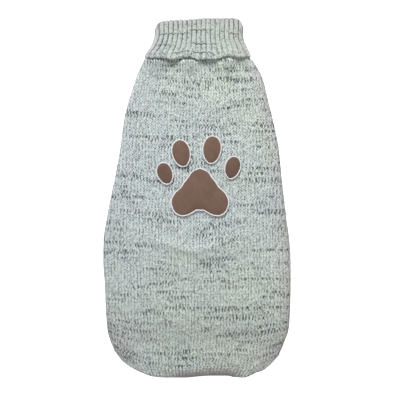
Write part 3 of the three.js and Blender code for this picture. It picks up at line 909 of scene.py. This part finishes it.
belly_knit = cloth_object("belly_knit", belly_all[used], belly_faces, belly_map[used])
belly_knit.data.materials.append(
    jersey_finish("belly_jersey", BELLY_FIRST_WALE, BELLY_WALES, BELLY_COURSES)
)

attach(belly_knit, "root")
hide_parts("belly_panel")

# Collar. One long tube of 1x1 rib in the same yarn, sewn to the neck seam. It stands up and is
# folded down outside itself, and its loose cast-off edge lies wavily over the body.
NECK_SEAM_Y = 165
# x and y of the fold at the top.
COLLAR_TOP = (
    (-47.2, 188.5),
    (-44, 193),
    (-38, 195.8),
    (-30, 196.7),
    (-10, 197.6),
    (10, 199.15),
    (38, 199.15),
    (45, 198.2),
    (49, 195.5),
    (51.8, 191),
)
# x and y of the flap's lower edge.
COLLAR_EDGE = (
    (-57.6, 154),
    (-50, 153.3),
    (-41, 153.6),
    (-34, 152.4),
    (-24, 151.5),
    (-13, 154.3),
    (-7, 153.9),
    (0, 152),
    (12, 152),
    (19, 151.6),
    (26, 153.4),
    (34, 155.6),
    (40, 155.2),
    (47, 153.9),
    (54, 154.2),
    (59, 154.6),
)
COLLAR_UNDER_EDGE_Y = 155.7
# The level at which the tube's width is read for its top.
COLLAR_TOP_Y = 190
# How far the cast-off edge dips at each rib, and how much it wavers.
EDGE_SCALLOP = 1.3
EDGE_WAVER = 0.5
RIBS_ACROSS = 17
RIBS_ROUND_SIDE = 3
RIB_COLUMNS = 8
COLLAR_COURSES = 13
ROWS_A_COURSE = 4
GROOVE_DEPTH = 1.5
LEG_RISE = 0.35
# The last courses are loose: how many, over how many that begins, and how much flatter and
# rounder their ribs are.
LOOSE_COURSES = 2.2
LOOSENING = 0.6
LOOSE_FLATNESS = 0.55
STITCH_BULGE, LOOSE_BULGE = 0.22, 0.3
# Course, first rib and last rib of the runs where the yarn's dark ply lies on top.
DARK_COURSES = (
    (4.2, 0, 6.5),
    (3.2, 6.5, 11.5),
    (4.6, 15, 17),
    (8.3, -1, 4),
    (7.9, 7, 12),
    (10.8, 4, 12),
    (5.5, 21, 29),
    (8.8, 24, 36),
)
STAND_INNER = SEAM_GAP / 2
STAND_OUTER = STAND_INNER + WALL
FLAP_INNER = STAND_OUTER + SEAM_GAP
FLAP_OUTER = FLAP_INNER + WALL
FOLD_CENTRE = (STAND_OUTER + FLAP_INNER) / 2
FOLD_RADIUS = FOLD_CENTRE - STAND_INNER
EDGE_RADIUS = WALL / 2

collar_top = smooth_table(COLLAR_TOP)
collar_edge = smooth_table(COLLAR_EDGE)
far_side = RIBS_ACROSS + RIBS_ROUND_SIDE
ribs_round = 2 * far_side
rib_place = np.arange(ribs_round * RIB_COLUMNS + 1) / RIB_COLUMNS
corners = (0, RIBS_ACROSS, far_side, ribs_round - RIBS_ROUND_SIDE, ribs_round)
collar_share = np.interp(rib_place, corners, (0, 1, 1, 0, 0))
collar_turn = np.radians(np.interp(rib_place, corners, (90, 90, -90, -90, -270)))
rib_shape = np.abs(np.sin(np.pi * rib_place)) ** 0.4
leg_spread = np.abs(2 * np.mod(rib_place, 1) - 1)


def collar_x(y, r):
    """Where each rib lies across, at a level and a distance from the tube's middle line."""
    start, end = collar_left(y) + FLAP_OUTER, collar_right(y) - FLAP_OUTER
    return lerp(start, end, collar_share) + r * np.cos(collar_turn)


fold_y = collar_top(collar_x(COLLAR_TOP_Y, FLAP_OUTER)) - FOLD_RADIUS
flap_edge_y = lerp(
    COLLAR_UNDER_EDGE_Y,
    collar_edge(collar_x(COLLAR_MOUTH_Y, FLAP_OUTER)),
    0.5 + 0.5 * np.sin(collar_turn),
)
flap_edge_y = flap_edge_y + EDGE_SCALLOP * (1 - rib_shape)
flap_edge_y = flap_edge_y + EDGE_WAVER * uneven(5, rib_place * 1.3, 0.5)


def collar_row(y, r, angle=0.0, relief=0.0):
    """One course of the collar: y, distance from its middle line, and relief at an angle."""
    y = y + relief * math.sin(angle) + 0 * rib_place
    r = r + relief * math.cos(angle) + 0 * rib_place
    return np.stack([collar_x(y, r), y, FLAP_OUTER + r * np.sin(collar_turn)], -1)


def rib_relief(course):
    """How far each rib lies below its crown, with a dip between its stitches."""
    loose_from = COLLAR_COURSES - LOOSE_COURSES
    loose = smoothstep(course, loose_from, loose_from + LOOSENING)
    groove = GROOVE_DEPTH * (1 - LOOSE_FLATNESS * loose) * (1 - rib_shape)
    bulge = (STITCH_BULGE + LOOSE_BULGE * loose) * (2 * np.mod(course, 1) - 1) ** 2
    return -groove - bulge * rib_shape


collar_rows = [collar_row(lerp(NECK_SEAM_Y, fold_y, part), STAND_INNER) for part in (0, 0.5)]
for angle in np.radians(np.linspace(180, 15, 12)):
    sine, cosine = math.sin(angle), math.cos(angle)
    fade = float(smoothstep(angle, math.radians(160), math.radians(100)))
    y, r = fold_y + FOLD_RADIUS * sine, FOLD_CENTRE + FOLD_RADIUS * cosine
    collar_rows.append(collar_row(y, r, angle, fade * rib_relief(0.5)))
flap_first_row = len(collar_rows)
for i in range(COLLAR_COURSES * ROWS_A_COURSE + 1):
    course = i / ROWS_A_COURSE
    ends = min(course, COLLAR_COURSES - course, 1)
    down = (course + LEG_RISE * ends * leg_spread) / COLLAR_COURSES
    y = lerp(fold_y, flap_edge_y + EDGE_RADIUS, down)
    collar_rows.append(collar_row(y, FLAP_OUTER, 0, rib_relief(course)))
for angle in np.radians((-40, -80, -120, -180)):
    sine, cosine = math.sin(angle), math.cos(angle)
    y = flap_edge_y + EDGE_RADIUS * (1 + sine)
    r = FLAP_INNER + EDGE_RADIUS * (1 + cosine)
    collar_rows.append(collar_row(y, r, angle, 0.5 * (1 + cosine) * rib_relief(COLLAR_COURSES)))
for part in (0.3, 0.65, 1):
    collar_rows.append(collar_row(lerp(flap_edge_y + EDGE_RADIUS, fold_y, part), FLAP_INNER))
collar_rows.append(collar_row(fold_y + SEAM_GAP / 2, FOLD_CENTRE))
for part in (0, 0.5, 1):
    collar_rows.append(collar_row(lerp(fold_y, NECK_SEAM_Y, part), STAND_OUTER))

collar_grid = np.array(collar_rows)[:, :-1]
count_rows, count_columns = collar_grid.shape[:2]
collar_places = np.arange((count_rows + 1) * (count_columns + 1))
collar_places = collar_places.reshape(count_rows + 1, count_columns + 1)
place_row, place_column = np.divmod(collar_places, count_columns + 1)
collar_point_of = (place_row % count_rows) * count_columns + place_column % count_columns
collar_map = np.stack([place_column / count_columns, 1 - place_row / count_rows], -1)
collar_knit = cloth_object(
    "collar_knit",
    collar_grid.reshape(-1, 3),
    grid_faces(collar_places),
    collar_map.reshape(-1, 2),
    collar_point_of.ravel(),
)

rib_finish = Finish("marled_rib", roughness=0.95, sheen=0.15)
across_map, along_map = rib_finish.map_place()
rib_wale = across_map * float(ribs_round)
rib_course = ((1 - along_map) * float(count_rows) - float(flap_first_row)) / ROWS_A_COURSE
from_middle = (rib_wale.within() - 0.5).size()
rib_specks = rib_finish.chance((rib_wale * 4.0).floor(), (rib_course * 2.0).floor(), 3.0)
rib_loose = rib_course.between(COLLAR_COURSES - 4.5, COLLAR_COURSES - 2.0)
# Painted shade in the holes of the loose last courses, dark in scattered places.
loose_dark = rib_specks.between(0.5, 0.9) * rib_loose * 0.15
rib_dark = rib_specks.between(0.78, 1.0) * 0.62 + loose_dark
rib_dark = rib_dark * from_middle.between(0.46, 0.38)
rib_breaks = rib_finish.speckle(rib_wale * 0.9, rib_course * 0.3, 8.0).between(0.3, 0.55)
for line_course, first_rib, last_rib in DARK_COURSES:
    line = (rib_course - line_course - from_middle * 0.5).size().between(0.3, 0.1)
    line = line * rib_wale.between(first_rib - 0.3, first_rib + 0.3)
    line = line * rib_wale.between(last_rib + 0.3, last_rib - 0.3)
    rib_dark = rib_dark.larger(line * rib_breaks * 0.9)
# Painted shade in the open eyelets of the two loose last courses.
eyelets = ((rib_wale * 2.0).within() - 0.5).size().between(0.3, 0.12)
for eyelet_course in (COLLAR_COURSES - 1.6, COLLAR_COURSES - 0.7):
    eyelet = eyelets * (rib_course - eyelet_course).size().between(0.32, 0.15)
    rib_dark = rib_dark.larger(eyelet * rib_specks.between(0.1, 0.7) * 0.95)
# Painted shade: a pinkish-grey tint on the collar's rounded sides and on the courses by its top
# fold.
rib_x, _ = rib_finish.across_and_along(rib_finish.object_place())
rib_painted_shade = rib_course.between(2.5, 0.5).larger(rib_x.size().between(0.03, 0.052))
rib_light = yarn_light(rib_finish, rib_specks, rib_painted_shade * 0.28)
rib_fibres = rib_finish.speckle(rib_wale * 5.0, rib_course * 2.4, 4.0, roughness=0.7)
rib_patches = rib_finish.speckle(rib_wale * 0.35, rib_course * 0.3, 15.0, detail=1.0)
# Painted shade in the grooves between ribs, along each rib's middle line and between courses. The
# loose courses get less of it and are painted lighter, painted light against the shade of the
# flap's rounded edge.
rib_line = 0.3 + rib_patches.between(0.35, 0.6) * 0.34 - rib_loose * 0.2
rib_gap = from_middle.between(0.34, 0.46) * rib_line + from_middle.between(0.08, 0.0) * 0.1
rib_gap = rib_gap + (rib_course.within() - 0.5).size().between(0.3, 0.5) * 0.1
rib_shade = (0.86 + rib_loose * 0.1 - rib_gap) * (1.0 + (rib_fibres - 0.5) * 0.9)
rib_finish.paint(rib_finish.mix(rib_dark, rib_finish.tone(rib_light, rib_shade), YARN_DARK))
rib_finish.raise_by(rib_finish.speckle(rib_wale * 9.0, rib_course * 2.5), *PLY_RELIEF)
collar_knit.data.materials.append(rib_finish.material)

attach(collar_knit, "root")
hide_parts("collar")

# Tail welt. A double band of the jersey, knitted on at the tail and turned under, with its
# stitches drawn out lengthways.
WELT_WALES = 46
WELT_HEIGHT = 4.8
WELT_TURNS = 40
WELT_GROOVE_SHARES = (0.04, 0.22)
# The section, in shares of the welt's depth and height: where its root lies under the body's
# edge, and how much of its depth is rounded.
WELT_ROOT = -0.15
WELT_ROUND = 0.4
WELT_CURVE_POINTS = 64
# Where the two end discs lie on the welt's map, and how large they are.
DISC_PLACES = ((0.1, 0.97), (0.3, 0.97))
DISC_RADIUS = 0.02
# Far from the other pieces' wales.
WELT_FIRST_WALE = 500.0
# The purplish-grey tint of painted shade along the welt's lower edge.
WELT_SHADE_TINT = srgb(122, 110, 113)

welt_wale = np.arange(4 * WELT_WALES + 1)[:, None] / 4
welt_share = welt_wale / WELT_WALES
welt_curve = np.radians(np.linspace(-90, 90, WELT_CURVE_POINTS))
welt_bow = np.sign(welt_curve) * np.abs(np.sin(welt_curve)) ** 0.8
welt_edge_out = 1 - WELT_ROUND + WELT_ROUND * np.cos(welt_curve) ** 0.8
welt_out = [WELT_ROOT, *welt_edge_out, 0.1, 0, -0.08, WELT_ROOT, WELT_ROOT]
welt_up = [0.1, *(0.5 + 0.5 * welt_bow), 1, 0.98, 0.93, 0.83, 0.1]
welt_run = np.hypot(np.diff(welt_out) * WELT_DEPTH, np.diff(welt_up) * WELT_HEIGHT)
welt_run = np.append(0, np.cumsum(welt_run))
welt_places = np.linspace(0, welt_run[-1], WELT_TURNS, endpoint=False)
welt_out = np.interp(welt_places, welt_run, welt_out)[None, :]
welt_up = np.interp(welt_places, welt_run, welt_up)[None, :]
edge_x = lerp(WELT_EDGE[0][0], WELT_EDGE[-1][0], welt_share)
seam_y = welt_edge(edge_x) + WELT_DEPTH
seam_x = lerp(
    body_left(welt_edge(WELT_EDGE[0][0]) + WELT_DEPTH),
    body_right(welt_edge(WELT_EDGE[-1][0]) + WELT_DEPTH),
    welt_share,
)
welt_groove = 1 - np.abs(np.sin(np.pi * welt_wale)) ** 0.7
welt_across = welt_out * (1 - WELT_GROOVE_SHARES[0] * welt_groove)
welt_grid = np.stack(
    [
        lerp(seam_x, edge_x, welt_across),
        lerp(seam_y, welt_edge(edge_x), welt_across),
        WELT_HEIGHT * (0.5 + (welt_up - 0.5) * (1 - WELT_GROOVE_SHARES[1] * welt_groove)),
    ],
    -1,
)
ends = welt_grid[[0, -1]].mean(axis=1)
rows, columns = welt_grid.shape[:2]
welt_numbers = np.arange(rows * (columns + 1)).reshape(rows, columns + 1)
place_row, place_column = np.divmod(welt_numbers, columns + 1)
welt_point_of = (place_row * columns + place_column % columns).ravel()
welt_map = np.stack([place_row / (rows - 1), OUTER_SHARE * place_column / columns], -1)
welt_map = welt_map.reshape(-1, 2)
welt_faces = grid_faces(welt_numbers)
around = np.radians(np.arange(columns) * 360 / columns)
disc = DISC_RADIUS * np.stack([np.cos(around), np.sin(around)], -1)
for end, row_number in ((0, 0), (1, rows - 1)):
    start = len(welt_map)
    middle = np.array(DISC_PLACES[end])
    welt_map = np.concatenate([welt_map, middle + disc, middle[None]])
    numbers = row_number * columns + np.arange(columns)
    welt_point_of = np.concatenate([welt_point_of, numbers, [rows * columns + end]])
    for i in range(columns):
        welt_faces.append([start + i, start + (i + 1) % columns, start + columns])
welt_knit = cloth_object(
    "welt_knit",
    np.concatenate([welt_grid.reshape(-1, 3), ends]),
    welt_faces,
    welt_map,
    welt_point_of,
)

welt_finish = Finish("welt_jersey", roughness=0.95, sheen=0.15)
across_map, along_map = welt_finish.map_place()
welt_u = across_map * float(WELT_WALES)
welt_course = along_map * float(welt_run[-1] / COURSE_PITCH / OUTER_SHARE)
welt_colour = marled_yarn(welt_finish, welt_u + WELT_FIRST_WALE, welt_course, flecked=0.6)
# Painted shade in the grooves between the welt's wales, deeper in places.
welt_line = (0.5 - (welt_u.within() - 0.5).size()).between(0.22, 0.05)
# Painted shade: a purplish-grey band along the middle of the welt's lower edge, where it turns
# under.
edge_course = float(welt_places[np.argmax(welt_out)] / COURSE_PITCH)
painted_shade = (welt_course - edge_course).size().between(5.0, 0.8)
painted_shade = painted_shade * across_map.between(0.25, 0.45) * across_map.between(0.82, 0.7)
line_depth = welt_finish.speckle(welt_u * 0.35, 1.0, detail=1.0).between(0.35, 0.65)
welt_colour = welt_finish.tone(welt_colour, 1.0 - welt_line * line_depth * 0.5)
welt_finish.paint(welt_finish.mix(painted_shade * 0.85, welt_colour, WELT_SHADE_TINT))
welt_finish.raise_by(welt_finish.speckle(welt_u * 6.0, along_map * 30.0), *PLY_RELIEF)
welt_knit.data.materials.append(welt_finish.material)

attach(welt_knit, "root")
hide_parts("tail_welt")

# Paw pads. Four toes and a palm cut from brown felt and laid on the back, brushed down its
# length, with their cut edges held by the edging round them.
TOES = (
    {"x": -35.3, "y": 27, "across": 7.9, "along": 11.7, "lean": 20},
    {"x": -17.3, "y": 49.3, "across": 9.3, "along": 14.3, "lean": 11},
    {"x": 16.5, "y": 53.2, "across": 9.4, "along": 14.6, "lean": -6},
    {"x": 39.3, "y": 33.5, "across": 7.8, "along": 11.9, "lean": -16},
)
TOE_TAPER = 0.09
PALM = {"x": 3.4, "y": 0}
# Angle and reach of the palm's rim on its right half, from straight down to straight up.
PALM_REACH = (
    (-90, 12.7),
    (-80, 12.9),
    (-72, 13.7),
    (-62, 16.8),
    (-53, 22.3),
    (-41, 28.6),
    (-25, 31.7),
    (-9, 31.5),
    (9, 28),
    (31, 23.3),
    (57, 25),
    (75, 29.8),
    (90, 32),
)
PAD_THICKNESS = 1.5
# A pad's section: share of its reach, height in pad thicknesses, and place on its map.
PAD_SECTION = (
    (1, 0, 1),
    (1, 0.5, 0.96),
    (0.985, 0.72, 0.94),
    (0.95, 0.9, 0.92),
    (0.88, 1.1, 0.87),
    (0.75, 1.34, 0.75),
    (0.5, 1.64, 0.5),
    (0.25, 1.82, 0.25),
)
PAD_CROWN = 1.87
TOE_POINTS, PALM_POINTS = 96, 192
# Where a pad's top and underside lie on its map, and the map's width in pad widths.
TOP_MIDDLE, BASE_MIDDLE = (0.25, 0.5), (0.75, 0.5)
PAD_MAP_SPAN = 4.2
FELT_BROWN = srgb(107, 84, 72)
NAP_RELIEF = (0.3 * MM, 0.7)

brown_felt = Finish("brown_felt", roughness=0.9, sheen=0.25)
felt_place = brown_felt.object_place()
felt_x, felt_y = brown_felt.across_and_along(felt_place)
streaks = brown_felt.speckle(felt_x * 900.0, felt_y * 160.0, detail=4.0, roughness=0.65)
cloudy = brown_felt.noise(felt_place, 90.0, 3.0)
outer_toes = felt_x.size().between(0.026, 0.034) * felt_y.between(0.01, 0.02)
felt_tone = 1.0 + (streaks - 0.5) * 0.6 + (cloudy - 0.5) * 0.45 - outer_toes * 0.15
brown_felt.paint(brown_felt.tone(FELT_BROWN, felt_tone))
brown_felt.raise_by(streaks, *NAP_RELIEF)


def toe_rim(toe):
    angle = np.linspace(0, 2 * np.pi, TOE_POINTS, endpoint=False)
    wide = toe["across"] * (1 + TOE_TAPER * np.sin(angle)) * np.cos(angle)
    long = toe["along"] * np.sin(angle)
    lean = math.radians(toe["lean"])
    x = toe["x"] + wide * math.cos(lean) - long * math.sin(lean)
    y = toe["y"] + wide * math.sin(lean) + long * math.cos(lean)
    return np.stack([x, y], -1)


def palm_rim():
    angle = -90 + np.arange(PALM_POINTS) * 360 / PALM_POINTS
    reach = smooth_table(PALM_REACH)(np.where(angle > 90, 180 - angle, angle))
    turn = np.radians(angle)
    return np.stack([PALM["x"] + reach * np.cos(turn), PALM["y"] + reach * np.sin(turn)], -1)


def felt_pad(name, node, rim, centre):
    """A pad inside a rim, with its underside a seam gap above the knit."""
    middle = np.array((centre["x"], centre["y"]))
    loops, maps = [], []
    span = np.abs(rim - middle).max() * PAD_MAP_SPAN
    for share, rise, map_share in PAD_SECTION:
        flat = middle + (rim - middle) * share
        z = resting_top(flat[:, 0], flat[:, 1]) + SEAM_GAP + rise * PAD_THICKNESS
        loops.append(np.column_stack([flat, z]))
        maps.append(TOP_MIDDLE + (rim - middle) * map_share / span)
    count = len(rim)
    base = float(resting_top(*middle)) + SEAM_GAP
    crown = base + PAD_CROWN * PAD_THICKNESS
    points = np.concatenate([*loops, [[*middle, crown], [*middle, base]]])
    top, bottom = len(points) - 2, len(points) - 1
    base_map = BASE_MIDDLE + (rim - middle) / span
    map_places = np.concatenate([*maps, [TOP_MIDDLE, BASE_MIDDLE], base_map])
    point_of = np.concatenate([np.arange(len(points)), np.arange(count)])
    grid = np.arange(len(loops) * count).reshape(len(loops), count)
    faces = grid_faces(np.column_stack([grid, grid[:, :1]]))
    for i in range(count):
        j = (i + 1) % count
        faces.append([top - count + i, top - count + j, top])
        faces.append([len(points) + i, len(points) + j, bottom])
    made = cloth_object(name, points, faces, map_places, point_of)
    made.data.materials.append(brown_felt.material)
    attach(made, "root")
    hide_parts(node)


rims = [toe_rim(toe) for toe in TOES]
for i, (toe, rim) in enumerate(zip(TOES, rims), 1):
    felt_pad(f"toe_felt_{i}", f"toe_pad_{i}", rim, toe)
felt_pad("palm_felt", "palm_pad", palm_rim(), PALM)

# Paw edging. A row of close satin stitches in thick cream thread, made by machine over the cut
# edge of each pad. One stitch is modelled and copied round each rim.
STITCH_PITCH = 0.6
# How far a stitch reaches inwards and outwards of the rim, and its half-width and half-height.
STITCH_REACH = (-0.15, 1.55)
STITCH_HALVES = (0.36, 0.62)
STITCH_RISE = 1.15
STITCH_SLANT = 14
REACH_SPREAD = 0.05
SLANT_SPREAD_DEGREES = 3
# How far before and after a stitch the rim's direction is read.
RIM_LOOK = 0.8
THREAD_CREAM = srgb(227, 225, 227)

bpy.ops.mesh.primitive_uv_sphere_add(
    segments=8, ring_count=6, radius=1, rotation=(0, math.pi / 2, 0)
)
bpy.ops.object.transform_apply(location=False, rotation=True, scale=False)
first_stitch = bpy.context.object
first_stitch.name = "satin_stitch"
half_length = 0.5 * (STITCH_REACH[1] - STITCH_REACH[0])
first_stitch.scale = (half_length * MM, STITCH_HALVES[0] * MM, STITCH_HALVES[1] * MM)
bpy.ops.object.transform_apply(location=False, rotation=False, scale=True)
bpy.ops.object.shade_smooth()

cream_thread = Finish("cream_thread", roughness=0.7, sheen=0.1)
thread_place = cream_thread.object_place()
thread_cloud = cream_thread.noise(thread_place, 400.0, 2.0)
cream_thread.paint(cream_thread.tone(THREAD_CREAM, 1.0 + (thread_cloud - 0.5) * 0.16))
first_stitch.data.materials.append(cream_thread.material)


def satin_edging(name, node, rim, seed):
    """Stitches side by side round a rim, each across it and a little slanted."""
    loop = np.vstack([rim, rim[:1]])
    steps = np.linalg.norm(np.diff(loop, axis=0), axis=1)
    travelled = np.append(0, np.cumsum(steps))
    length = travelled[-1]
    count = round(length / STITCH_PITCH)
    chance = np.random.default_rng(seed)

    def rim_place(distance):
        return np.array([np.interp(distance % length, travelled, loop[:, i]) for i in (0, 1)])

    made = []
    for i in range(count):
        at = length * i / count
        x, y = rim_place(at)
        dx, dy = rim_place(at + RIM_LOOK) - rim_place(at - RIM_LOOK)
        outwards = math.atan2(-dx, dy)
        reach = 0.5 * sum(STITCH_REACH) + chance.normal(0, REACH_SPREAD)
        x, y = x + reach * math.cos(outwards), y + reach * math.sin(outwards)
        stitch = first_stitch.copy()
        stitch.location = (x * MM, y * MM, (float(resting_top(x, y)) + STITCH_RISE) * MM)
        slant = math.radians(STITCH_SLANT + chance.normal(0, SLANT_SPREAD_DEGREES))
        stitch.rotation_euler = (0, 0, outwards + slant)
        bpy.context.scene.collection.objects.link(stitch)
        made.append(stitch)
    made[0].data = first_stitch.data.copy()
    bpy.ops.object.select_all(action="DESELECT")
    for stitch in made:
        stitch.select_set(True)
    bpy.context.view_layer.objects.active = made[0]
    bpy.ops.object.join()
    bpy.ops.object.transform_apply(location=True, rotation=True, scale=True)
    made[0].name = name
    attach(made[0], "root")
    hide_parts(node)


for i, rim in enumerate(rims, 1):
    satin_edging(f"toe_stitches_{i}", f"toe_edging_{i}", rim, seed=i)
satin_edging("palm_stitches", "palm_edging", palm_rim(), seed=9)
bpy.data.objects.remove(first_stitch)
